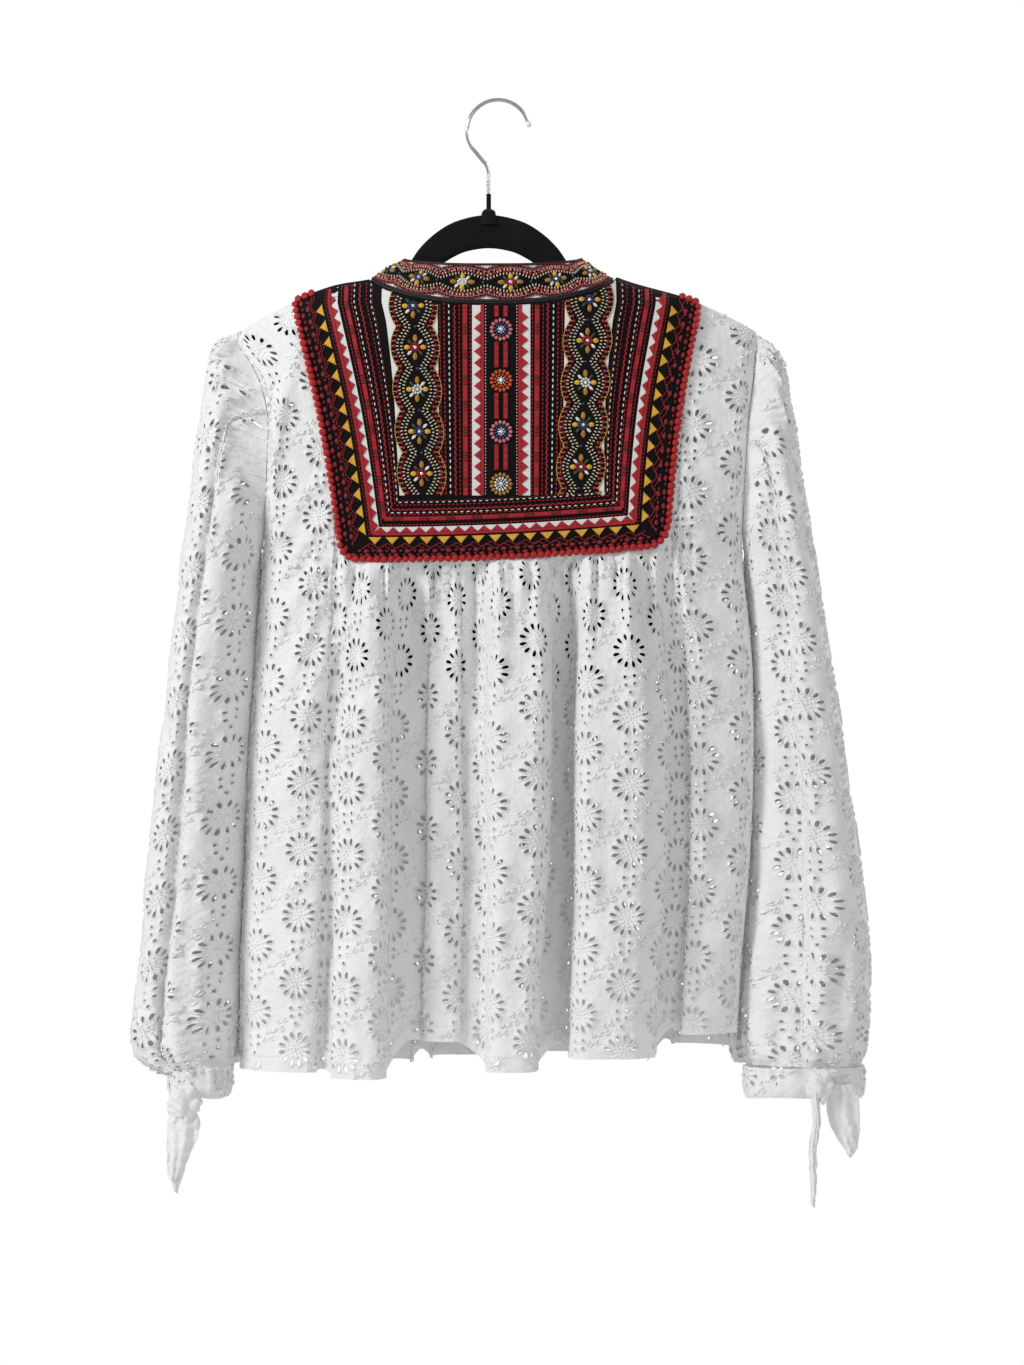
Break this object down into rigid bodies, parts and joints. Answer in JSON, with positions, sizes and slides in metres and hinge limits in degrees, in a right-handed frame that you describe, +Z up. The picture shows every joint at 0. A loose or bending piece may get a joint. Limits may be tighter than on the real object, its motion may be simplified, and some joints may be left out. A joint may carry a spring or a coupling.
{
  "type": "embroidered peasant blouse on a hanger",
  "caption": "Long-sleeved full cotton blouse with an embroidered yoke and stand collar, ball trim and knotted cuffs, hanging on a flocked hanger.",
  "frame": {"origin": "inside of the hook's top, where a rail holds it", "axes": "+Z up, +X to the right of someone who looks at the blouse's back, +Y from the blouse's back towards its front"},
  "size_m": [0.5954, 0.1137, 0.888],
  "materials": {
    "cotton": "white cotton with eyelet embroidery",
    "embroidery": "black ground, red and yellow thread",
    "collar_band": "embroidered band",
    "ball_trim": "wound thread balls",
    "velvet": "black flock",
    "chrome": "polished",
    "tip": "dipped"
  },
  "bodies": {
    "root": {"body_back": "cotton", "body_front": "cotton", "collar": "collar_band", "cuff_left": "cotton", "cuff_right": "cotton", "hanger_body": "velvet", "hanger_hook": "chrome", "hanger_tip": "tip", "knot_left": "cotton", "knot_right": "cotton", "sleeve_left": "cotton", "sleeve_right": "cotton", "tie_left_inner": "cotton", "tie_left_outer": "cotton", "tie_right_thin": "cotton", "tie_right_wide": "cotton", "trim_back": "ball_trim", "trim_front": "ball_trim", "yoke_back": "embroidery", "yoke_front_left": "embroidery", "yoke_front_right": "embroidery"}
  },
  "joints": []
}
